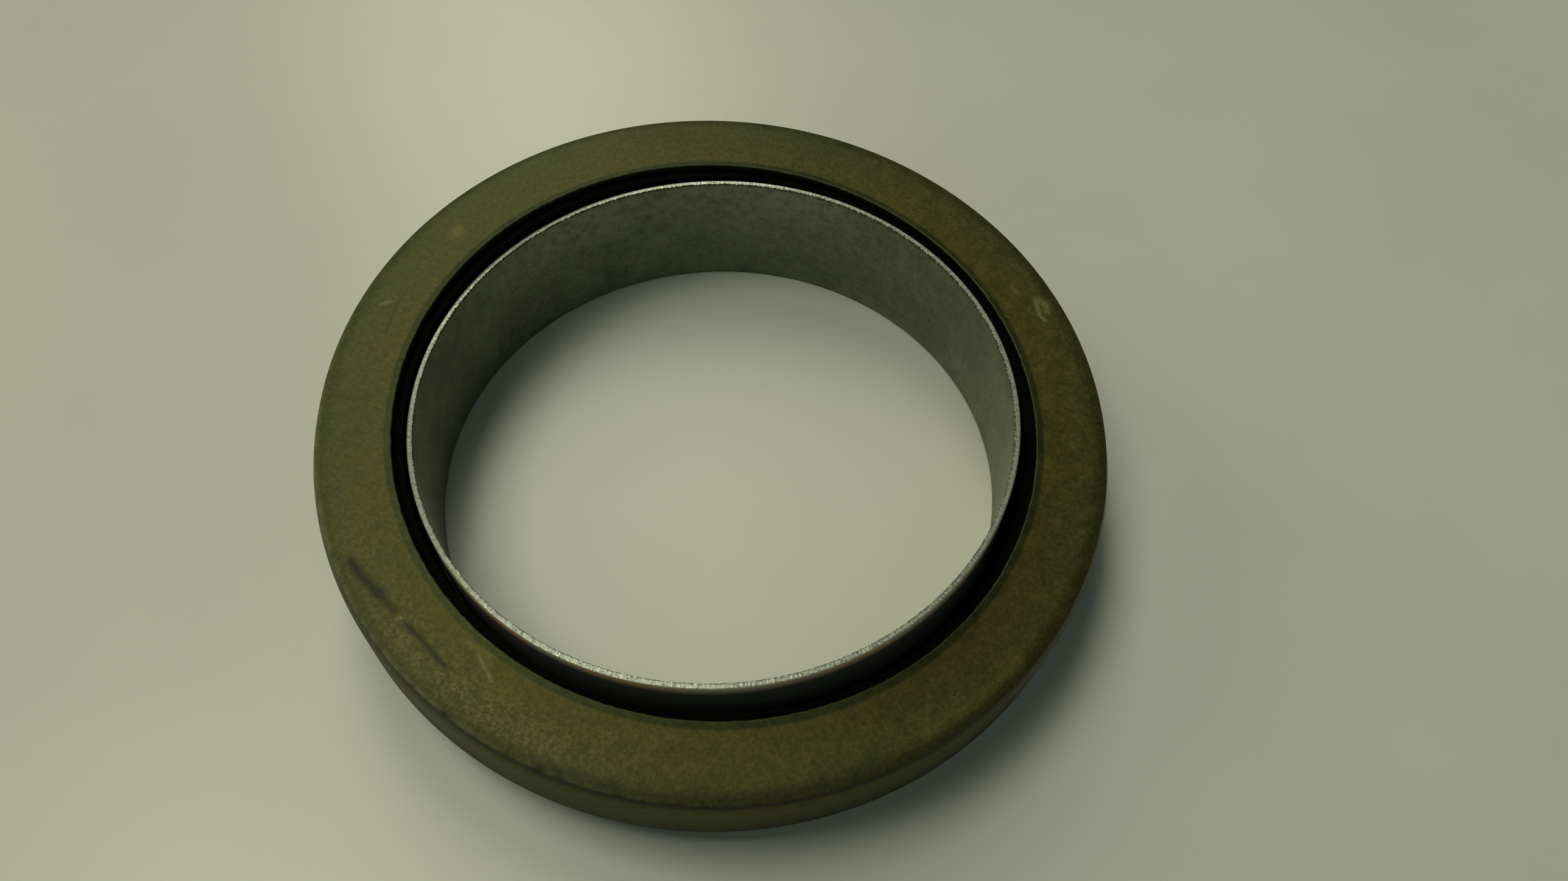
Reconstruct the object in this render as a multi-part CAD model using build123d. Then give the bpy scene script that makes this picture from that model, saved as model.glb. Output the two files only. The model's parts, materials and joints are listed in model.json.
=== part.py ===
from build123d import *
from math import cos, radians
import os

# Large rotary shaft seal, fitted on its own steel wear sleeve.
#
# Millimetres. Z is the axis of the wear sleeve and the origin is the centre of its lower
# end, on which the whole thing stands. The seal (case, lip and spring) sits a few degrees
# out of square on the sleeve, as a loose one does, and leans towards -Y. It rocks about
# the X axis through the plane in which its lip meets the sleeve.

# ---- driving dimensions -----------------------------------------------------------------

# wear sleeve
sleeve_r = 63.2             # outside, the surface that the lip runs on
sleeve_wall = 1.15
sleeve_length = 31.6
sleeve_lead = 0.7           # height of the chamfers at the lower end
edge_break = 0.1            # on the cut upper rim

# how the seal sits on the sleeve
seal_height = 12.3          # from the sleeve's lower end to the open side of the seal
lean = 4.3                  # degrees out of square at rest
lean_limit = 4.8            # degrees out of square at most, either way
running_gap = 0.03          # between sleeve and lip at that limit

# outer case, a pressed steel cup with its face upwards
case_r = 82.55
case_height = 17.8          # open side to flat face
case_sheet = 1.6
wall_height = 14.4          # height of the straight wall
ridge_r = 81.6              # ridge where the bevelled wall meets the rounded face
ridge_height = 17.2
face_r = 80.05              # outer edge of the face before it is rounded down to the ridge
crease_r = 68.2             # inside this the face turns up into a low rim
rim_r = 66.5
rim_height = 18.4
crimp_r = 77.8              # the wall's lower edge is rolled in as far as this
crimp_sheet = 1.2

# inner case, nested in the outer one and held by the crimp
inner_sheet = 1.2
inner_height = 12.2         # height of its upper edge, which grips the lip's heel
inner_step_r = 76.5         # its floor steps up inside this
inner_step = 1.4
inner_hole_r = 71.6

# stack of rings gripped between the inner case and the face of the outer case
ring_r = 80.3               # clears the rounded inside corner of the outer case
heel_rubber = 0.9           # rubber under the lip's steel insert
insert_sheet = 1.1
insert_hole_r = 71.5
spacer_sheet = 1.0
spacer_hole_r = 70.0
excluder_sheet = 1.0

# lip
lip_height = 2.4            # plane of the lip's edge, above the open side of the seal
lip_foot = 0.9              # lowest point of the lip's head
head_r = 67.9               # outside of the lip's head
neck_height = 7.2           # where the head ends and the flexible neck begins

# garter spring, simplified to the ring that its coils fill
spring_r = 67.2             # to the middle of the coil
spring_height = 3.1
coil_r = 1.15
groove_r = 1.23

# ---- derived dimensions -----------------------------------------------------------------

bore_r = sleeve_r - sleeve_wall
cavity_r = case_r - case_sheet
face_under = case_height - case_sheet
heel_top = inner_height + heel_rubber
insert_top = heel_top + insert_sheet
spacer_top = insert_top + spacer_sheet
# a circle that leans looks narrower, so the lip is larger than the sleeve by that much
lip_r = (sleeve_r + running_gap) / cos(radians(lean_limit))
# the excluder also swings sideways, because it lies above the plane of the lip
excluder_swing = (face_under - lip_height) * radians(lean_limit)
excluder_r = lip_r + excluder_swing


# ---- helpers ----------------------------------------------------------------------------

def ring(outline):
    """Turn an outline about Z. Each point is (radius, height, radius of its corner)."""
    points = [(radius, height) for radius, height, corner in outline]
    corners = [corner for radius, height, corner in outline]
    section = make_face(Plane.XZ * FilletPolyline(*points, radius=corners, close=True))
    return revolve(section, Axis.Z)


def washer(hole_r, bottom, top, corner):
    """Flat ring of the gripped stack."""
    return ring([
        (hole_r, bottom, corner), (ring_r, bottom, 0), (ring_r, top, 0), (hole_r, top, corner),
    ])


# ---- wear sleeve, in its own place ------------------------------------------------------

def make_wear_sleeve():
    """Thin cut tube with a chamfered lower end, so that it starts on a shaft."""
    top = sleeve_length
    return ring([
        (bore_r, sleeve_lead, 0), (bore_r + 0.3, 0, 0),
        (sleeve_r - 0.25, 0, 0), (sleeve_r, sleeve_lead, 0),
        (sleeve_r, top, edge_break), (bore_r, top, edge_break),
    ])


# ---- pieces of the seal, square to Z with the open side of the case at height 0 ----------

def make_outer_case():
    """Cup with a rounded, bevelled shoulder, a turned-up rim and a rolled lower edge."""
    return ring([
        (crimp_r, 0, 0.3), (case_r, 0, 1.2), (case_r, wall_height, 4),
        (ridge_r, ridge_height, 0.15), (face_r, case_height, 8),
        (crease_r, case_height, 1.5), (rim_r, rim_height, 0.35),
        (rim_r, rim_height - case_sheet, 0.2), (crease_r, face_under, 1.5),
        (cavity_r, face_under, 0.6), (cavity_r, crimp_sheet, 0.4), (crimp_r, crimp_sheet, 0.3),
    ])


def make_inner_case():
    """Cup the other way up, whose stepped floor closes most of the seal's open side."""
    floor = crimp_sheet
    step = floor + inner_step
    slope = inner_step
    return ring([
        (cavity_r, floor, 1.6), (cavity_r, inner_height, 0.2),
        (cavity_r - inner_sheet, inner_height, 0.2),
        (cavity_r - inner_sheet, floor + inner_sheet, 0.6),
        (inner_step_r + 0.5, floor + inner_sheet, 0.8),
        (inner_step_r + 0.5 - slope, step + inner_sheet, 0.8),
        (inner_hole_r, step + inner_sheet, 0.3), (inner_hole_r, step, 0.3),
        (inner_step_r - slope, step, 0.8), (inner_step_r, floor, 0.8),
    ])


def make_seal_element():
    """Moulded rubber: a gripped heel, a thin neck, and a head with the lip and a groove."""
    body = ring([
        (ring_r, inner_height, 0), (ring_r, heel_top, 0),
        (insert_hole_r, heel_top, 0), (insert_hole_r, insert_top, 0),
        (68.6, insert_top, 0.8), (67.6, inner_height, 2),
        (65.7, neck_height, 1.5), (lip_r, lip_height, 0.04),
        (64.75, lip_foot, 0.2), (head_r, lip_foot, 0.4),
        (head_r, neck_height, 1.5), (69.6, inner_height, 1),
    ])
    return body - Pos(0, 0, spring_height) * Torus(spring_r, groove_r)


def make_lip_insert():
    """Steel washer bonded to the top of the rubber heel, which wraps its inner edge."""
    return washer(insert_hole_r, heel_top, insert_top, 0)


def make_spacer_ring():
    return washer(spacer_hole_r, insert_top, spacer_top, 0.2)


def make_dust_excluder():
    return washer(excluder_r, spacer_top, face_under, 0.3)


def make_garter_spring():
    return Pos(0, 0, spring_height) * Torus(spring_r, coil_r)


# ---- assembly ---------------------------------------------------------------------------

# from the square, ground-level seal to its place on the sleeve
lip_plane = Pos(0, 0, seal_height + lip_height)
seal_place = lip_plane * Rot(lean, 0, 0) * Pos(0, 0, -lip_height)

nodes = {
    "wear_sleeve": make_wear_sleeve(),
    "outer_case": seal_place * make_outer_case(),
    "inner_case": seal_place * make_inner_case(),
    "seal_element": seal_place * make_seal_element(),
    "lip_insert": seal_place * make_lip_insert(),
    "spacer_ring": seal_place * make_spacer_ring(),
    "dust_excluder": seal_place * make_dust_excluder(),
    "garter_spring": seal_place * make_garter_spring(),
}

os.makedirs("parts", exist_ok=True)
for name, shape in nodes.items():
    export_step(shape, f"parts/{name}.step")
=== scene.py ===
import json
from cmath import exp, phase
from math import ceil, cos, pi, radians, sin, tan

import bpy
import numpy as np
from mathutils import Matrix, Quaternion, Vector


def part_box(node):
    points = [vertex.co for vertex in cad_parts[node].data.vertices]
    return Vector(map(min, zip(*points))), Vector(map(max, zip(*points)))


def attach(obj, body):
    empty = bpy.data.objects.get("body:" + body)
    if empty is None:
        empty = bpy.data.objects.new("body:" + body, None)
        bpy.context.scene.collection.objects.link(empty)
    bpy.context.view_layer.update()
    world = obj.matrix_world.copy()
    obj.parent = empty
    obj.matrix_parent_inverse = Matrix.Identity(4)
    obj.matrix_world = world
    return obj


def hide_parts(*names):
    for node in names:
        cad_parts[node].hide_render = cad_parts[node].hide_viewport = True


# A loose shaft seal on its wear sleeve, standing on a pale table.
#
# Every piece is a ring, so each is turned from an outline in its own square frame, in
# millimetres, and then put in its place. The sleeve stands upright at the origin. The
# seal's pieces share one frame, with the open side of the case at height 0, and lean.

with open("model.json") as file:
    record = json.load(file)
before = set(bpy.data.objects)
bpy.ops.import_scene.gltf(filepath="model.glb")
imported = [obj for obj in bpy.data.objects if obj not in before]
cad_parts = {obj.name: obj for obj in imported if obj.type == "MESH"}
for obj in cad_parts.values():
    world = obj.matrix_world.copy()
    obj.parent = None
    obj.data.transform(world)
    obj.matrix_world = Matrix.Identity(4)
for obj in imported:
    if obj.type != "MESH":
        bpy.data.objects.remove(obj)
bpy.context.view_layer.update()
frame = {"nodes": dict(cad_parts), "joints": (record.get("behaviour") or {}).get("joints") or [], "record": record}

MM = 0.001


# ---- camera and light --------------------------------------------------------------------

camera_place = Vector((-94.4, -113.2, 243.8)) * MM
camera_aim = Vector((11.1, -9.3, 15.0)) * MM
camera_roll = radians(1.4)
camera_lens, sensor_width = 28.5, 36    # millimetres
camera_right = radians(-44.5)       # azimuth of the picture's right-hand side
lamp_tone = (0.985, 1.0, 0.71)      # greenish light of the lamps
window_tone = (1.0, 1.0, 0.64)
shade_tone = (0.80, 1.0, 0.78)      # and of the room around them
room_glow = 0.018
light_distance = 3.0                # metres
# name, angle from the picture's right, elevation, width, height, power in watts and tone
lights = (
    ("skylight", 172, 69, 1.25, 1.25, 28, lamp_tone),
    ("ceiling_strip", 104, 50, 0.85, 2.2, 26, lamp_tone),
    ("window", 152, 27, 1.6, 1.2, 13.0, window_tone),
    ("room_lamp", 297, 61, 1.5, 1.5, 4.4, shade_tone),
    ("front_fill", 250, 32, 1.5, 1.1, 3.3, shade_tone),
)


# ---- sizes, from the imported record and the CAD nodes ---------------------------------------

def named(rows, name):
    return next(row for row in rows if row["name"] == name)


mounts = frame["record"]["mounts"]
pivot = Vector(named(frame["joints"], "seal_tilt")["pos_m"])
seal_axis = Vector(named(frame["joints"], "seal_spin")["axis"])


def height_range(node):
    """Lowest and highest point of a seal's node along the seal's axis, from the pivot, in mm."""
    heights = [(v.co - pivot).dot(seal_axis) / MM for v in frame["nodes"][node].data.vertices]
    return min(heights), max(heights)


case_low, case_high = height_range("outer_case")
case_r = named(mounts, "case_od")["dims"]["r_mm"]
bore_r = named(mounts, "sleeve_bore")["dims"]["r_mm"]
sleeve_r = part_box("wear_sleeve")[1].x / MM
sleeve_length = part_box("wear_sleeve")[1].z / MM

millimetres = Matrix.Diagonal((MM, MM, MM, 1))
lean = Vector((0, 0, 1)).rotation_difference(seal_axis).to_matrix().to_4x4()
leaning = Matrix.Translation(pivot) @ lean @ millimetres @ Matrix.Translation((0, 0, case_low))

# the outlines of the seal's pieces, as in the CAD model
rim_height = case_high - case_low
case_sheet = 1.6
face_height = 17.8
wall_height = 14.4
ridge_r, ridge_height = 81.6, 17.2
face_r, face_corner = 80.05, 8
crease_r = 68.2
rim_r = 66.5
crimp_r, crimp_sheet = 77.8, 1.2
cavity_r = case_r - case_sheet
inner_sheet = 1.2
inner_height = 12.2
inner_step, inner_step_r = 1.4, 76.5
inner_hole_r = 71.6
ring_r = 80.3
insert_hole_r = 71.5
heel_top, insert_top, spacer_top = 13.1, 14.2, 15.2
face_under = face_height - case_sheet
lip_height, lip_foot = 2.4, 0.9
lip_r = 63.27          # the rubber lip, drawn almost closed on the sleeve
head_r, neck_height = 67.9, 7.2
excluder_r = 64.61
spring_r, spring_height, coil_r, groove_r = 67.2, 3.1, 1.15, 1.23


# ---- turning rings -------------------------------------------------------------------------

smooth_below = radians(35)          # sharper edges than this are shaded sharp
arc_step = radians(9)               # between the points of a rounded corner


def rounded(outline):
    """Points r + ih along a closed outline. A corner is (radius, height, corner radius,
    spacing of the points on the straight run after it), and is rounded with an arc."""
    corners = [complex(r, h) for r, h, _, _ in outline]
    arcs = []
    for i, (_, _, corner, _) in enumerate(outline):
        here = corners[i]
        back = corners[i - 1] - here
        ahead = corners[(i + 1) % len(corners)] - here
        back, ahead = back / abs(back), ahead / abs(ahead)
        if corner == 0:
            arcs.append([here])
            continue
        turn = pi - abs(phase(ahead / back))
        centre = here + (back + ahead) / abs(back + ahead) * corner / cos(turn / 2)
        first = here + back * corner * tan(turn / 2) - centre
        last = here + ahead * corner * tan(turn / 2) - centre
        sweep = phase(last / first)
        steps = max(2, ceil(abs(sweep) / arc_step))
        arcs.append([centre + first * exp(1j * sweep * k / steps) for k in range(steps + 1)])
    line = []
    for i, arc in enumerate(arcs):
        start, stop = arc[-1], arcs[(i + 1) % len(arcs)][0]
        pieces = max(1, round(abs(stop - start) / outline[i][3]))
        line += arc + [start + (stop - start) * k / pieces for k in range(1, pieces)]
    return np.array(line)


def vector_attribute(mesh, name, values):
    mesh.attributes.new(name, "FLOAT_VECTOR", "POINT").data.foreach_set("vector", values.ravel())


def add_layers(piece, layers):
    """Keeps one number a vertex under each name, for the materials to read."""
    for name, values in layers.items():
        layer = piece.data.attributes.new(name, "FLOAT", "POINT")
        layer.data.foreach_set("value", values.ravel())


def around_ring(segments, line):
    """Angle of each vertex of a turned ring."""
    return np.arange(segments)[:, None] * 2 * pi / segments + np.zeros(len(line))


def closed_grid(name, square, place, body, inside_out=False):
    """Piece whose points are a grid that joins up both ways. square is their place in
    millimetres in the piece's own square frame, and is kept as an attribute."""
    rows, columns = square.shape[:2]
    flat = square.reshape(-1, 3)
    placed = flat @ np.array(place.to_3x3()).T + np.array(place.translation)
    ring = np.arange(rows)[:, None] * columns
    step = np.arange(columns)
    along, across = np.roll(step, -1), np.roll(ring, -1, axis=0)
    quads = np.stack([ring + step, across + step, across + along, ring + along], -1)
    quads = quads[..., ::-1] if inside_out else quads

    mesh = bpy.data.meshes.new(name)
    mesh.from_pydata(placed.tolist(), [], quads.reshape(-1, 4).tolist())
    mesh.shade_smooth()
    vector_attribute(mesh, "square", flat)
    piece = bpy.data.objects.new(name, mesh)
    bpy.context.scene.collection.objects.link(piece)
    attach(piece, body)
    return piece


def turned(name, line, segments, place, body, shaped=None):
    """Ring whose cross-section is line. shaped(angle, r, h) may move its points a little.
    It keeps its square place in the attribute square, and in around the direction from
    its axis with the distance run along the outline."""
    angle = around_ring(segments, line)
    r, h = line.real + 0 * angle, line.imag + 0 * angle
    run = np.concatenate([[0], np.cumsum(abs(np.diff(line)))]) + 0 * angle
    if shaped:
        r, h = shaped(angle, r, h)
    square = np.stack([r * np.cos(angle), r * np.sin(angle), h], -1)
    clockwise = (line.conj() * np.roll(line, -1)).imag.sum() <= 0
    piece = closed_grid(name, square, place, body, inside_out=clockwise)
    piece.data.set_sharp_from_angle(angle=smooth_below)
    vector_attribute(piece.data, "around", np.stack([np.cos(angle), np.sin(angle), run], -1))
    return piece


def finish(piece, node, slot, *materials):
    """The piece's materials, and the CAD node that it stands for."""
    for material in materials:
        piece.data.materials.append(material)
    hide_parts(node)


def ripple(angle, low, high, seed):
    """Random wave round the ring, about 1 high, with low to high waves in a full turn."""
    draw = np.random.default_rng(seed)
    waves = np.unique(draw.integers(low, high + 1, 24))
    total = sum(np.cos(n * angle + draw.uniform(0, 2 * pi)) for n in waves)
    return total / np.sqrt(len(waves))


def turn_from(angle, seen):
    """Angle from a direction in the picture, in degrees from its right, to angle: -pi to pi."""
    return (angle - radians(seen) - camera_right + pi) % (2 * pi) - pi


def facing(angle, seen):
    """1 towards a direction in the picture, falling to 0 a quarter turn away."""
    return np.clip(np.cos(turn_from(angle, seen)), 0, 1)


# ---- shader nodes --------------------------------------------------------------------------

class Finish:
    """A material under construction: one method for each kind of node."""

    def __init__(self, name):
        self.material = bpy.data.materials.new(name)
        self.material.use_nodes = True
        self.tree = self.material.node_tree
        self.surface = self.tree.nodes["Principled BSDF"]

    def add(self, kind, settings=(), **inputs):
        made = self.tree.nodes.new("ShaderNode" + kind)
        for key, value in dict(settings).items():
            setattr(made, key, value)
        for key, value in inputs.items():
            self.join(made.inputs[key.replace("_", " ")], value)
        return made

    def join(self, socket, value):
        if isinstance(value, bpy.types.NodeSocket):
            self.tree.links.new(value, socket)
        else:
            socket.default_value = value

    def attribute(self, name, output="Vector"):
        return self.add("Attribute", {"attribute_name": name}).outputs[output]

    def stretched(self, vector, scale):
        return self.add("Mapping", Vector=vector, Scale=scale).outputs["Vector"]

    def noise(self, vector, scale, detail=4, roughness=0.55):
        made = self.add("TexNoise", Vector=vector, Scale=scale, Detail=detail,
                        Roughness=roughness)
        return made.outputs["Fac"]

    def ramp(self, value, start, stop, low=0.0, high=1.0):
        """value, moved from the range start..stop to low..high and kept inside it."""
        made = self.add("MapRange", Value=value)
        for key, number in zip(("From Min", "From Max", "To Min", "To Max"),
                               (start, stop, low, high)):
            made.inputs[key].default_value = number
        return made.outputs["Result"]

    def maths(self, operation, first, second=0.0):
        made = self.add("Math", {"operation": operation})
        self.join(made.inputs[0], first)
        self.join(made.inputs[1], second)
        return made.outputs[0]

    def blend(self, share, first, second, mode="MIX"):
        made = self.add("Mix", {"data_type": "RGBA", "blend_type": mode})
        self.join(made.inputs["Factor"], share)
        self.join(made.inputs[6], first)
        self.join(made.inputs[7], second)
        return made.outputs[2]

    def bump(self, height, depth, below=None):
        """Normal of a surface whose height runs from 0 to depth metres."""
        made = self.add("Bump", Height=height, Distance=depth, Strength=1.0)
        if below is not None:
            self.join(made.inputs["Normal"], below)
        return made.outputs["Normal"]

    def show(self, **inputs):
        for key, value in inputs.items():
            self.join(self.surface.inputs[key.replace("_", " ")], value)
        return self.material


def colour(r, g, b):
    return (r, g, b, 1.0)


# ---- outer case ----------------------------------------------------------------------------

def olive_coating():
    """Satin olive coating: mottled and grainy, rubbed paler in places, with painted highlights on the ridge
    and wall top, painted shade and light in its tint, and drawing lines round the wall."""
    m = Finish("olive_coating")
    olive_green, olive_brown = colour(0.047, 0.055, 0.0165), colour(0.067, 0.058, 0.0145)
    rubbed_brown = colour(0.150, 0.116, 0.070)
    paints = {"pale": colour(0.175, 0.190, 0.100), "golden": colour(0.138, 0.120, 0.034),
              "dark": colour(0.006, 0.007, 0.005)}
    square, around = m.attribute("square"), m.attribute("around")
    patches = m.noise(square, 0.045, 2)
    mottle = m.noise(square, 0.30, 5, 0.6)
    grain = m.noise(square, 1.2, 6, 0.8)
    lines = m.noise(m.stretched(around, (1.2, 1.2, 2.2)), 1.0, 3, 0.6)

    warmth = m.maths("ADD", m.ramp(patches, 0.38, 0.62, -0.14, 0.14),
                     m.ramp(mottle, 0.32, 0.68, -0.18, 0.18))
    warmth = m.maths("ADD", warmth, m.attribute("warm", "Fac"))
    base = m.blend(warmth, olive_green, olive_brown)
    base = m.blend(1.0, base, m.ramp(mottle, 0.3, 0.7, 0.84, 1.16), "MULTIPLY")
    base = m.blend(1.0, base, m.ramp(grain, 0.3, 0.7, 0.66, 1.34), "MULTIPLY")
    rubbed = m.maths("MULTIPLY", m.ramp(grain, 0.46, 0.62), m.ramp(mottle, 0.36, 0.56, 0.3, 1))
    rubbed = m.maths("MULTIPLY", m.attribute("rubbed", "Fac"), rubbed)
    base = m.blend(rubbed, base, rubbed_brown)
    drawn = m.blend(1.0, base, m.ramp(lines, 0.35, 0.65, 0.60, 1.40), "MULTIPLY")
    wall = m.attribute("drawn", "Fac")
    base = m.blend(wall, base, drawn)
    # the tint carries painted shade and painted light by zone
    base = m.blend(1.0, base, m.attribute("tint", "Color"), "MULTIPLY")
    broken = m.ramp(grain, 0.35, 0.58, 0.45, 1.0)
    # the pale paint covers real scuffs and painted highlights on the ridge and wall top
    for mark, paint in paints.items():
        share = m.maths("MULTIPLY", m.attribute(mark, "Fac"), broken)
        base = m.blend(share, base, paint)
    relief = m.bump(mottle, 0.00004)
    relief = m.bump(grain, 0.00003, relief)
    roughness = m.maths("ADD", m.ramp(mottle, 0.3, 0.7, 0.42, 0.54), m.ramp(wall, 0, 1, 0, 0.16))
    return m.show(Base_Color=base, Metallic=m.ramp(wall, 0, 1, 0.36, 0.12), Normal=relief,
                  Specular_IOR_Level=0.22, Roughness=roughness)


case_outline = [
    (crimp_r, 0, 0.3, 0.6), (case_r, 0, 1.2, 0.5), (case_r, wall_height, 4, 0.25),
    (ridge_r, ridge_height, 0.15, 0.2), (face_r, face_height, face_corner, 0.3),
    (crease_r, face_height, 1.5, 0.3), (rim_r, rim_height, 0.35, 0.5),
    (rim_r, rim_height - case_sheet, 0.2, 1), (crease_r, face_under, 1.5, 3),
    (cavity_r, face_under, 0.6, 3), (cavity_r, crimp_sheet, 0.4, 3),
    (crimp_r, crimp_sheet, 0.3, 1),
]


# The marks on the face. Each is a line through points (angle seen from the picture's right
# in degrees, radius), with its width in mm and its strength.
pale_marks = [
    ([(24.7, 76.5), (23.0, 76.0), (21.2, 75.5), (20.2, 76.1)], 0.42, 1.0),
    ([(24.2, 77.3), (22.9, 78.2), (21.6, 77.5)], 0.75, 0.68),
    ([(23.2, 67.8), (23.2, 68.6)], 0.15, 0.50),
    ([(232.2, 69.8), (235.3, 71.2), (236.5, 72.1)], 0.28, 0.55),
    ([(219.7, 75.6), (219.9, 75.4)], 0.25, 0.90), ([(255.7, 71.5), (255.9, 71.4)], 0.22, 0.80),
    ([(162.8, 76.8), (161.5, 75.0)], 0.35, 0.45),
]
golden_marks = [
    ([(143.4, 74.2), (144.6, 73.8)], 1.30, 0.75), ([(28.4, 73.5), (27.3, 73.6)], 0.55, 1.0),
    ([(229.5, 69.2), (233.5, 68.9)], 0.60, 0.60), ([(300, 79.2), (318, 79.4)], 0.90, 0.35),
]
dark_marks = [
    ([(208.4, 78.4), (211.0, 77.8), (212.8, 77.1), (214.8, 76.4)], 1.00, 1.0),
    ([(214.8, 76.4), (218.5, 75.6)], 0.85, 0.75),
    ([(221.2, 75.3), (225.0, 74.9), (229.8, 75.2)], 0.60, 0.90),
    ([(158.0, 73.6), (161.2, 73.5), (163.8, 73.2), (168.0, 72.6)], 0.22, 0.50),
]


def near_line(angle, r, points, width):
    """1 on the line through the points and falling to 0 beside it, at every vertex."""
    nearest = np.full(angle.shape, np.inf)
    for (seen_1, r_1), (seen_2, r_2) in zip(points, points[1:]):
        run, rise = radians(seen_2 - seen_1) * r_1, r_2 - r_1
        x, y = turn_from(angle, seen_1) * r_1, r - r_1
        share = np.clip((x * run + y * rise) / (run * run + rise * rise), 0, 1)
        nearest = np.minimum(nearest, np.hypot(x - share * run, y - share * rise))
    return np.exp(-(nearest / width) ** 2)


def patch(angle, r, seen, at_r, length, width):
    """Soft patch about one point of the face, its length running round the ring."""
    along = turn_from(angle, seen) * at_r
    return np.exp(-(along / length) ** 2 - ((r - at_r) / width) ** 2)


# where the coating, its painted shade and its painted light differ round the ring, in degrees from the picture's
# right
edge_highlight_side, warm_side, shaded_side, lit_wall_side = 212, 335, 285, 236

# patches of the face: angle seen, radius, and length and width in mm
scuffed_patch = (234, 76.5, 30, 4)
shaded_patch = (312, 69.5, 32, 6)
golden_patch = (225, 72.5, 85, 9)

# multipliers of the coating's red, green and blue
inner_face, outer_face = (1.10, 1.03, 0.84), (0.92, 0.98, 1.0)
turned_up_rim, straight_wall = (0.68, 0.84, 0.92), (1.16, 1.19, 0.90)
rim_edge_shade = 0.2

# and what painted shade takes from them at the darkest places, what is taken at the most golden places, and what a
# painted highlight adds on the bevel
shoulder_shade, groove_shade = (0.52, 0.57, 0.54), (0.72, 0.78, 0.70)
golden_loss = (-0.02, 0.02, 0.36)
bevel_highlight = (0.35, 0.46, 0.20)


def wear_of_case(angle, r, line, top, wall):
    """Layers of marks, rubbed places and painted highlights, for the coating to read."""
    layers = {}
    for name, marks in (("pale", pale_marks), ("golden", golden_marks), ("dark", dark_marks)):
        each = [strength * near_line(angle, r, points, width) for points, width, strength in marks]
        layers[name] = np.clip(sum(each), 0, 1) * top
    # painted highlights on the ridge and the top of the wall, brightest towards one side, in lines this wide in mm
    ridge_width, wall_width = 0.32, 0.45
    ridge_middle, wall_middle = complex(ridge_r, ridge_height), complex(case_r, wall_height - 0.4)
    ridge = np.exp(-(abs(line - ridge_middle) / ridge_width) ** 2) + 0 * angle
    wall_top = np.exp(-(abs(line - wall_middle) / wall_width) ** 2) + 0 * angle
    edge_highlights = (0.80 * ridge + 0.20 * wall_top) * (0.12 + 0.88 * facing(angle, edge_highlight_side) ** 3)
    edge_highlights *= np.clip(0.8 + 0.5 * ripple(angle, 8, 160, 3), 0, 1)
    # the pale layer holds real pale scuffs and these painted highlights
    layers["pale"] = np.maximum(layers["pale"], edge_highlights)
    layers["warm"] = 0.45 + 0.25 * np.cos(turn_from(angle, warm_side))
    layers["rubbed"] = 0.10 + 0.90 * patch(angle, r, *scuffed_patch) * top
    layers["drawn"] = wall * 1.0
    return layers


def tint_of_case(angle, r, h, top, wall):
    """Multipliers of the coating's red, green and blue, by zone, with painted shade and painted light in them."""
    bevel = ~wall & ~top & (h > wall_height - 1) & (r > face_r)
    turned_up = (r < crease_r) & (h > wall_height)
    rim_edge = (r < rim_r + 0.12) & (h < rim_height - 0.25)
    # how much painted shade falls here, most towards the near side
    near_side_shade = 0.15 + 0.85 * np.clip(1.2 * np.cos(turn_from(angle, shaded_side)) - 0.2, 0, 1)

    # the face cools outwards, and painted shade darkens its rounded shoulder, most on the near side
    warm_r, cool_r, shoulder_r = 69, 79, 78.6
    outward = np.clip((r - warm_r) / (cool_r - warm_r), 0, 1)[..., None]
    zone = (1 - outward) * inner_face + outward * outer_face
    shoulder = np.clip((r - shoulder_r) / (ridge_r - shoulder_r), 0, 1)[..., None]
    zone *= 1 - shoulder * near_side_shade[..., None] * shoulder_shade
    zone[turned_up] = turned_up_rim
    # painted shade lies in the groove below the ridge, and a painted highlight makes the bevel paler under it
    groove = near_side_shade * np.exp(-((h - ridge_height + 0.40) / 0.90) ** 2)
    below = np.clip((ridge_height - 1.2 - h) / 0.8, 0, 1)
    groove_shading = 1 - groove[..., None] * groove_shade
    zone[bevel] = (groove_shading * (1 + below[..., None] * bevel_highlight))[bevel]
    zone[rim_edge] = rim_edge_shade
    # painted light on the wall towards one side, and painted shade on its near side
    wall_light = 1 + 0.60 * facing(angle, lit_wall_side)[..., None] ** 2
    zone[wall] = (wall_light * straight_wall * (1 - 0.22 * near_side_shade[..., None]))[wall]
    # a patch of painted shade on the face
    zone *= 1 - 0.30 * patch(angle, r, *shaded_patch)[..., None]
    golden = patch(angle, r, *golden_patch) * top
    zone *= 1 - golden[..., None] * golden_loss
    # towards its lower edge the case is darker
    dim_below = 9.0
    zone *= (1 - 0.65 * np.clip(1 - h / dim_below, 0, 1))[..., None]
    return zone


def stain_case(piece, line, segments):
    """Paints the case's zones and marks into attributes, one value a vertex."""
    angle = around_ring(segments, line)
    r, h = line.real + 0 * angle, line.imag + 0 * angle
    top = h > ridge_height - 0.1
    wall = (r > case_r - 0.5) & (h < wall_height + 0.4)
    add_layers(piece, wear_of_case(angle, r, line, top, wall))
    zone = tint_of_case(angle, r, h, top, wall)
    rgba = np.concatenate([zone, np.ones(angle.shape + (1,))], -1)
    tint = piece.data.attributes.new("tint", "FLOAT_COLOR", "POINT")
    tint.data.foreach_set("color", rgba.ravel())


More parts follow.
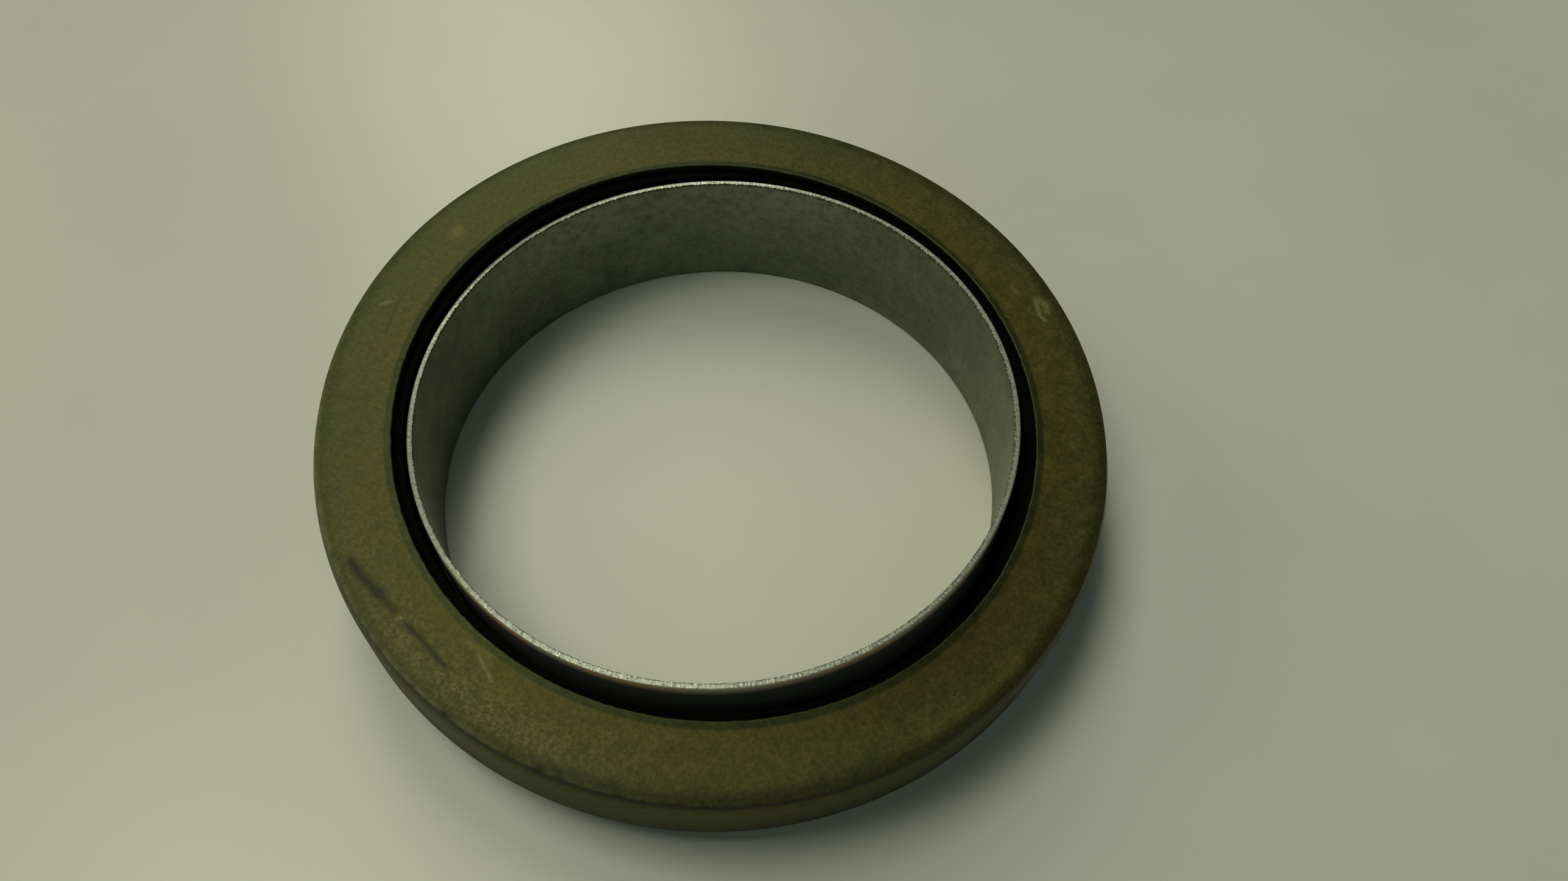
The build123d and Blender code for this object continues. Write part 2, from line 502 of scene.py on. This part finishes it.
def make_outer_case():
    line = rounded(case_outline)
    segments = 1600
    waviness, raggedness = 0.02, 0.04       # of the face and of the rim, in mm

    def shaped(angle, r, h):
        """The rim is slightly ragged and the face slightly wavy."""
        near_rim = np.exp(-((r - rim_r) / 0.8) ** 2) * (h > face_under)
        wavy = waviness * ripple(angle, 3, 14, 1) * (h > ridge_height)
        return r + raggedness * near_rim * ripple(angle, 20, 240, 2), h + wavy

    piece = turned("outer_case_skin", line, segments, leaning, "seal", shaped)
    stain_case(piece, line, segments)
    finish(piece, "outer_case", "case_steel", olive_coating())


# ---- wear sleeve ---------------------------------------------------------------------------

# painted shadow under the burr on the rim's inner edge
burr_shadow_brown = colour(0.022, 0.016, 0.010)


def bore_phosphate():
    """Dull grey-green phosphated steel: cloudy, with faint scratches, painted light on its upper far side and a
    painted shadow under the burr.
    """
    m = Finish("bore_phosphate")
    dark_grey, pale_grey = colour(0.137, 0.157, 0.106), colour(0.200, 0.224, 0.147)
    brown_tinge = colour(0.175, 0.165, 0.085)
    scratched, bore_light = colour(0.30, 0.31, 0.22), colour(0.33, 0.35, 0.23)
    square, around = m.attribute("square"), m.attribute("around")
    clouds = m.noise(square, 0.09, 3)
    mottle = m.noise(square, 0.42, 5, 0.68)
    grain = m.noise(square, 2.2, 3, 0.6)
    scratches = m.noise(m.stretched(around, (150, 150, 0.30)), 1.0, 3, 0.6)
    base = m.blend(m.ramp(clouds, 0.35, 0.65), dark_grey, pale_grey)
    tinge = m.noise(square, 0.8, 4, 0.7)
    base = m.blend(m.ramp(tinge, 0.45, 0.65, 0, 0.5), base, brown_tinge)
    base = m.blend(1.0, base, m.ramp(mottle, 0.3, 0.7, 0.76, 1.24), "MULTIPLY")
    base = m.blend(1.0, base, m.ramp(grain, 0.3, 0.7, 0.68, 1.32), "MULTIPLY")
    base = m.blend(m.ramp(scratches, 0.55, 0.8, 0, 0.35), base, scratched)
    # painted light on the upper far wall of the bore
    upper = m.maths("MULTIPLY", m.attribute("bore_light", "Fac"), m.ramp(mottle, 0.40, 0.58, 0.2, 1))
    base = m.blend(upper, base, bore_light)
    # painted shadow under the burr
    base = m.blend(m.attribute("burr_shadow", "Fac"), base, burr_shadow_brown)
    relief = m.bump(m.maths("ADD", mottle, grain), 0.00003)
    return m.show(Base_Color=base, Metallic=0.55, Normal=relief, Specular_IOR_Level=0.35,
                  Roughness=m.ramp(mottle, 0.3, 0.7, 0.48, 0.64))


def cut_steel():
    """Bright steel of the cut rim, scratched and chipped, with painted highlight and shade round the ring and a
    painted shadow under the burr.
    """
    m = Finish("cut_steel")
    dull, bright = colour(0.24, 0.26, 0.24), colour(0.46, 0.49, 0.46)
    dirty, chipped = colour(0.08, 0.075, 0.06), colour(0.80, 0.81, 0.77)
    around, square = m.attribute("around"), m.attribute("square")
    cuts = m.noise(m.stretched(around, (220, 220, 0.6)), 1.0, 4, 0.7)
    chips = m.noise(square, 2.2, 4, 0.75)
    base = m.blend(m.ramp(cuts, 0.35, 0.65), dull, bright)
    base = m.blend(m.ramp(chips, 0.53, 0.62, 0, 0.85), base, dirty)
    base = m.blend(m.ramp(chips, 0.42, 0.34, 0, 0.8), base, chipped)
    # painted highlight and shade round the rim
    base = m.blend(1.0, base, m.attribute("rim_shading", "Fac"), "MULTIPLY")
    # painted shadow under the burr
    base = m.blend(m.attribute("burr_shadow", "Fac"), base, burr_shadow_brown)
    relief = m.bump(m.maths("ADD", cuts, chips), 0.00002)
    return m.show(Base_Color=base, Metallic=0.45, Normal=relief,
                  Roughness=m.ramp(chips, 0.35, 0.65, 0.22, 0.42))


def ground_steel():
    """Dark, finely ground running surface, with a paler band below the rim that is partly a real stain and partly
    a painted reflection of light.
    """
    m = Finish("ground_steel")
    dark_steel, pale_steel = colour(0.095, 0.094, 0.094), colour(0.155, 0.153, 0.153)
    cream, amber = colour(0.84, 0.72, 0.55), colour(0.95, 0.60, 0.29)
    band_start, band_stop = 2.8, 0.9        # mm below the rim
    around, square = m.attribute("around"), m.attribute("square")
    lines = m.noise(m.stretched(around, (3, 3, 9)), 1.0, 3, 0.6)
    clouds = m.noise(square, 0.12, 3)
    height = m.add("SeparateXYZ", Vector=square).outputs["Z"]
    base = m.blend(m.ramp(lines, 0.3, 0.7), dark_steel, pale_steel)
    # the band is partly a real stain and partly painted light on the top of the sleeve's outside
    stain_and_sheen = m.blend(m.ramp(clouds, 0.42, 0.58), cream, amber)
    band = m.ramp(height, sleeve_length - band_start, sleeve_length - band_stop)
    base = m.blend(band, base, stain_and_sheen)
    return m.show(Base_Color=base, Metallic=0.25, Normal=m.bump(lines, 0.00001),
                  Roughness=m.ramp(clouds, 0.3, 0.7, 0.36, 0.48))


# where painted light and shade lie round the sleeve: angle seen and reach, both in degrees, and for
# the rim how much brighter or darker its painted highlight makes it there
bore_light_sides = ((80, 24), (125, 18))
rim_shading_spots = ((198, 34, -0.50), (116, 24, 0.90), (312, 30, -0.22), (60, 18, -0.15))


def about(angle, seen, reach):
    """1 in a direction of the picture, fading beside it within a reach in degrees."""
    return np.exp(-(turn_from(angle, seen) / radians(reach)) ** 2)


def make_wear_sleeve():
    lead, inner_edge, outer_edge = 0.7, 0.1, 0.25
    saw_depth, fine_depth, burr, nick = 0.03, 0.025, 0.09, 0.16     # mm, of the uneven rim
    top, segments = sleeve_length, 2400
    line = rounded([
        (bore_r, lead, 0, 0.2), (bore_r + 0.3, 0, 0, 0.3), (sleeve_r - 0.25, 0, 0, 0.3),
        (sleeve_r, lead, 0, 1.2), (sleeve_r, top, outer_edge, 0.1),
        (bore_r, top, inner_edge, 0.8),
    ])

    def shaped(angle, r, h):
        """The saw left a slightly uneven rim, with a ragged burr on its inner edge."""
        near_top = np.clip((h - top + 0.7) / 0.7, 0, 1) ** 2
        inner = np.exp(-((r - bore_r) / 0.22) ** 2)
        outer = np.exp(-((r - sleeve_r) / 0.25) ** 2)
        ragged = np.clip(ripple(angle, 120, 700, 11), -0.6, 2)
        ragged *= 0.7 + 0.4 * ripple(angle, 2, 9, 12)
        nicks = np.clip(ripple(angle, 200, 900, 15) - 1.1, 0, 1)
        rough = fine_depth * ripple(angle, 60, 700, 13)
        drop = near_top * (saw_depth + saw_depth * ripple(angle, 2, 12, 14) + abs(rough))
        moved = near_top * (inner * burr * ragged + outer * nick * nicks)
        return r - moved, h - drop

    piece = turned("wear_sleeve_skin", line, segments, Matrix(millimetres), "sleeve", shaped)
    finish(piece, "wear_sleeve", "sleeve_steel", bore_phosphate(), cut_steel(), ground_steel())
    in_bore, on_rim, outside = 0, 1, 2      # the three materials, in that order
    middle = (line + np.roll(line, -1)) / 2
    kind = np.where(middle.real > sleeve_r - 0.3, outside, in_bore)
    kind = np.where(middle.imag > top - 0.1, on_rim, kind)
    indices = np.tile(kind, segments).astype(np.int32)
    piece.data.polygons.foreach_set("material_index", indices)

    angle = around_ring(segments, line)
    # painted light on the upper part of the bore's far wall, rising with height
    bore_light = sum(about(angle, seen, reach) for seen, reach in bore_light_sides)
    bore_light_start, bore_light_full = 14, 28        # mm above the table
    rising = np.clip((line.imag - bore_light_start) / (bore_light_full - bore_light_start), 0, 1)
    bore_light = 0.90 * np.clip(bore_light, 0, 1) * rising
    # a painted shadow under the ragged burr, broken round the ring
    broken = np.clip(0.75 + 0.6 * ripple(angle, 40, 500, 16), 0, 1)
    burr_shadow_width = 0.26
    burr_shadow = broken * np.exp(-(abs(line - complex(bore_r, top - 0.1)) / burr_shadow_width) ** 4)
    # painted highlight and shade round the rim
    rim_shading = 1.0 + 0 * angle
    for seen, reach, brighter in rim_shading_spots:
        rim_shading += brighter * about(angle, seen, reach)
    add_layers(piece, {"bore_light": bore_light, "burr_shadow": burr_shadow, "rim_shading": rim_shading})


# ---- inside of the seal --------------------------------------------------------------------

def pressed_steel():
    """Oiled pressed steel with drawing lines round it."""
    m = Finish("pressed_steel")
    dull, bright = colour(0.17, 0.165, 0.12), colour(0.27, 0.26, 0.20)
    oil_brown = colour(0.12, 0.10, 0.06)
    around, square = m.attribute("around"), m.attribute("square")
    lines = m.noise(m.stretched(around, (2, 2, 4)), 1.0, 4, 0.6)
    clouds = m.noise(square, 0.15, 4)
    base = m.blend(m.ramp(lines, 0.3, 0.7), dull, bright)
    base = m.blend(m.ramp(clouds, 0.45, 0.7, 0, 0.6), base, oil_brown)
    return m.show(Base_Color=base, Metallic=0.8, Normal=m.bump(lines, 0.00003),
                  Roughness=m.ramp(clouds, 0.3, 0.7, 0.32, 0.5))


def make_inner_case():
    floor, step = crimp_sheet, crimp_sheet + inner_step
    inside = cavity_r - inner_sheet
    line = rounded([
        (cavity_r, floor, 1.6, 3), (cavity_r, inner_height, 0.2, 0.5),
        (inside, inner_height, 0.2, 1.5), (inside, floor + inner_sheet, 0.6, 0.6),
        (inner_step_r + 0.5, floor + inner_sheet, 0.8, 0.4),
        (inner_step_r + 0.5 - inner_step, step + inner_sheet, 0.8, 0.5),
        (inner_hole_r, step + inner_sheet, 0.3, 0.4), (inner_hole_r, step, 0.3, 0.4),
        (inner_step_r - inner_step, step, 0.8, 0.3), (inner_step_r, floor, 0.8, 0.4),
    ])
    piece = turned("inner_case_skin", line, 720, leaning, "seal")
    finish(piece, "inner_case", "inner_steel", pressed_steel())


def moulded_rubber():
    """Black nitrile rubber with a dusty bloom and fine mould texture."""
    m = Finish("moulded_rubber")
    black, dusty = colour(0.007, 0.007, 0.007), colour(0.020, 0.019, 0.017)
    square = m.attribute("square")
    bloom = m.noise(square, 0.3, 4)
    grain = m.noise(square, 4.0, 3, 0.6)
    base = m.blend(m.ramp(bloom, 0.45, 0.75, 0, 0.5), black, dusty)
    return m.show(Base_Color=base, Normal=m.bump(grain, 0.00004), Specular_IOR_Level=0.3,
                  Roughness=m.ramp(bloom, 0.3, 0.7, 0.50, 0.7))


def make_seal_element():
    """The lip's head has a round groove for the spring, so its outline has an arc there."""
    open_angle = np.arccos((head_r - spring_r) / groove_r)
    sweep = np.linspace(2 * pi - open_angle, open_angle, 24)
    groove = complex(spring_r, spring_height) + groove_r * np.exp(1j * sweep)
    outside = [(r, h, corner, 0.5) for r, h, corner in (
        (ring_r, inner_height, 0), (ring_r, heel_top, 0), (insert_hole_r, heel_top, 0),
        (insert_hole_r, insert_top, 0), (68.6, insert_top, 0.8), (67.6, inner_height, 2),
        (65.7, neck_height, 1.5), (lip_r, lip_height, 0.04), (64.75, lip_foot, 0.2),
        (head_r, lip_foot, 0.4), (head_r, neck_height, 1.5), (69.6, inner_height, 1))]
    line = rounded(outside)
    beside_groove = (abs(line.real - head_r) < 1e-6) & (line.imag < groove[-1].imag + 0.05)
    beside_groove &= line.imag > groove[0].imag - 0.05
    first = int(np.argmax((abs(line.real - head_r) < 1e-6) & (line.imag > groove[0].imag)))
    line = np.concatenate([line[:first], groove, line[first:][~beside_groove[first:]]])
    piece = turned("seal_element_skin", line, 720, leaning, "seal")
    finish(piece, "seal_element", "lip_rubber", moulded_rubber())


def stiff_fabric():
    """Rubberised woven fabric, dark and matt, made nearly black as painted shade for the gap it sits in."""
    m = Finish("stiff_fabric")
    black, thread = colour(0.0015, 0.0015, 0.0015), colour(0.0030, 0.0028, 0.0025)
    lint = colour(0.006, 0.0055, 0.005)
    square = m.attribute("square")
    parts = m.add("SeparateXYZ", Vector=square)
    threads = 9.0                       # radians of the weave's wave a millimetre
    over = m.maths("SINE", m.maths("MULTIPLY", parts.outputs["X"], threads))
    under = m.maths("SINE", m.maths("MULTIPLY", parts.outputs["Y"], threads))
    weave = m.maths("MULTIPLY", over, under)
    fuzz = m.noise(square, 5.0, 3)
    base = m.blend(m.ramp(weave, -1, 1), black, thread)
    base = m.blend(m.ramp(fuzz, 0.5, 0.8, 0, 0.5), base, lint)
    return m.show(Base_Color=base, Normal=m.bump(m.maths("ADD", weave, fuzz), 0.00008),
                  Roughness=0.9, Specular_IOR_Level=0.05)


def make_dust_excluder():
    line = rounded([
        (excluder_r, spacer_top, 0.3, 0.4), (ring_r, spacer_top, 0, 0.5),
        (ring_r, face_under, 0, 1.0), (excluder_r, face_under, 0.3, 0.4),
    ])
    piece = turned("dust_excluder_skin", line, 720, leaning, "seal")
    finish(piece, "dust_excluder", "excluder_fabric", stiff_fabric())


def spring_wire():
    """Drawn spring wire, dulled in patches by oil."""
    m = Finish("spring_wire")
    clean, oily = colour(0.50, 0.50, 0.48), colour(0.30, 0.28, 0.24)
    square = m.attribute("square")
    clouds = m.noise(square, 0.8, 4)
    base = m.blend(m.ramp(clouds, 0.4, 0.7), clean, oily)
    return m.show(Base_Color=base, Metallic=1.0, Normal=m.bump(clouds, 0.00001),
                  Roughness=m.ramp(clouds, 0.3, 0.7, 0.25, 0.4))


def make_garter_spring():
    """Close-wound coil bent into a closed ring."""
    wire_r, turns, steps_a_turn, sides = 0.22, 860, 12, 6
    count = turns * steps_a_turn
    along = np.arange(count) * 2 * pi / count
    twist = along * turns
    out = np.stack([np.cos(along), np.sin(along), 0 * along], -1)
    up = np.array([0.0, 0.0, 1.0])
    radial = np.cos(twist)[:, None] * out + np.sin(twist)[:, None] * up
    centre = out * spring_r + up * spring_height + radial * (coil_r - wire_r)
    tangent = np.roll(centre, -1, 0) - np.roll(centre, 1, 0)
    tangent /= np.linalg.norm(tangent, axis=1)[:, None]
    side = np.cross(tangent, radial)
    turn = (np.arange(sides) * 2 * pi / sides)[:, None]
    square = centre[:, None] + wire_r * (np.cos(turn) * radial[:, None]
                                         + np.sin(turn) * side[:, None])
    piece = closed_grid("garter_coil", square, leaning, "spring")
    finish(piece, "garter_spring", "spring_steel", spring_wire())


def finish_hidden_rings():
    """The washers inside the seal stay as CAD made them, in drawn steel."""
    m = Finish("washer_steel")
    dull, bright = colour(0.26, 0.25, 0.21), colour(0.36, 0.35, 0.31)
    place = m.add("TexCoord").outputs["Object"]
    clouds = m.noise(place, 400, 4)
    grain = m.noise(place, 4000, 3)
    base = m.blend(m.ramp(clouds, 0.35, 0.65), dull, bright)
    steel = m.show(Base_Color=base, Metallic=0.9, Normal=m.bump(grain, 0.00002),
                   Roughness=m.ramp(clouds, 0.3, 0.7, 0.35, 0.5))
    for node in ("lip_insert", "spacer_ring"):
        frame["nodes"][node].data.materials.clear()
        frame["nodes"][node].data.materials.append(steel)


# ---- table, light and camera ---------------------------------------------------------------

def make_floor():
    """Pale painted table top with a faint unevenness and a soft shine."""
    m = Finish("table_paint")
    grey, pale = colour(0.56, 0.56, 0.55), colour(0.60, 0.60, 0.59)
    place = m.add("TexCoord").outputs["Object"]
    clouds = m.noise(place, 9, 4)
    pores = m.noise(place, 700, 3)
    base = m.blend(m.ramp(clouds, 0.3, 0.7), grey, pale)
    paint = m.show(Base_Color=base, Normal=m.bump(pores, 0.00002), Roughness=0.33)
    half = 1.5                          # half the table's width, in metres
    mesh = bpy.data.meshes.new("table_top")
    mesh.from_pydata([(-half, -half, 0), (half, -half, 0), (half, half, 0), (-half, half, 0)],
                     [], [(0, 1, 2, 3)])
    floor = bpy.data.objects.new("table_top", mesh)
    floor.data.materials.append(paint)
    bpy.context.scene.collection.objects.link(floor)


def place_round_object(angle, elevation, distance):
    """Point at an angle from the picture's right, an elevation and a distance in metres."""
    azimuth = radians(angle) + camera_right
    flat = distance * cos(radians(elevation))
    return Vector((flat * cos(azimuth), flat * sin(azimuth), distance * sin(radians(elevation))))


def add_area_light(name, angle, elevation, wide, high, power, tone):
    """Soft light far away at an angle from the picture's right, facing the object. wide and
    high are in metres at light_distance."""
    light = bpy.data.lights.new(name, "AREA")
    light.shape = "RECTANGLE"
    light.size, light.size_y = wide, high
    light.energy, light.color = power, tone
    lamp = bpy.data.objects.new(name, light)
    lamp.location = place_round_object(angle, elevation, light_distance)
    lamp.rotation_euler = (-lamp.location).to_track_quat("-Z", "Y").to_euler()
    bpy.context.scene.collection.objects.link(lamp)


def add_lights():
    for light in lights:
        add_area_light(*light)
    world = bpy.data.worlds.new("room")
    world.use_nodes = True
    background = world.node_tree.nodes["Background"]
    background.inputs["Color"].default_value = colour(*shade_tone)
    background.inputs["Strength"].default_value = room_glow
    bpy.context.scene.world = world


def add_camera():
    data = bpy.data.cameras.new("camera")
    data.lens, data.sensor_width = camera_lens, sensor_width
    camera = bpy.data.objects.new("camera", data)
    camera.location = camera_place
    aimed = (camera_aim - camera_place).to_track_quat("-Z", "Y")
    camera.rotation_mode = "QUATERNION"
    camera.rotation_quaternion = aimed @ Quaternion((0, 0, 1), camera_roll)
    bpy.context.scene.collection.objects.link(camera)
    bpy.context.scene.camera = camera


make_outer_case()
make_wear_sleeve()
make_inner_case()
make_seal_element()
make_dust_excluder()
make_garter_spring()
finish_hidden_rings()
make_floor()
add_lights()
add_camera()
bpy.context.scene.view_settings.view_transform = "Standard"
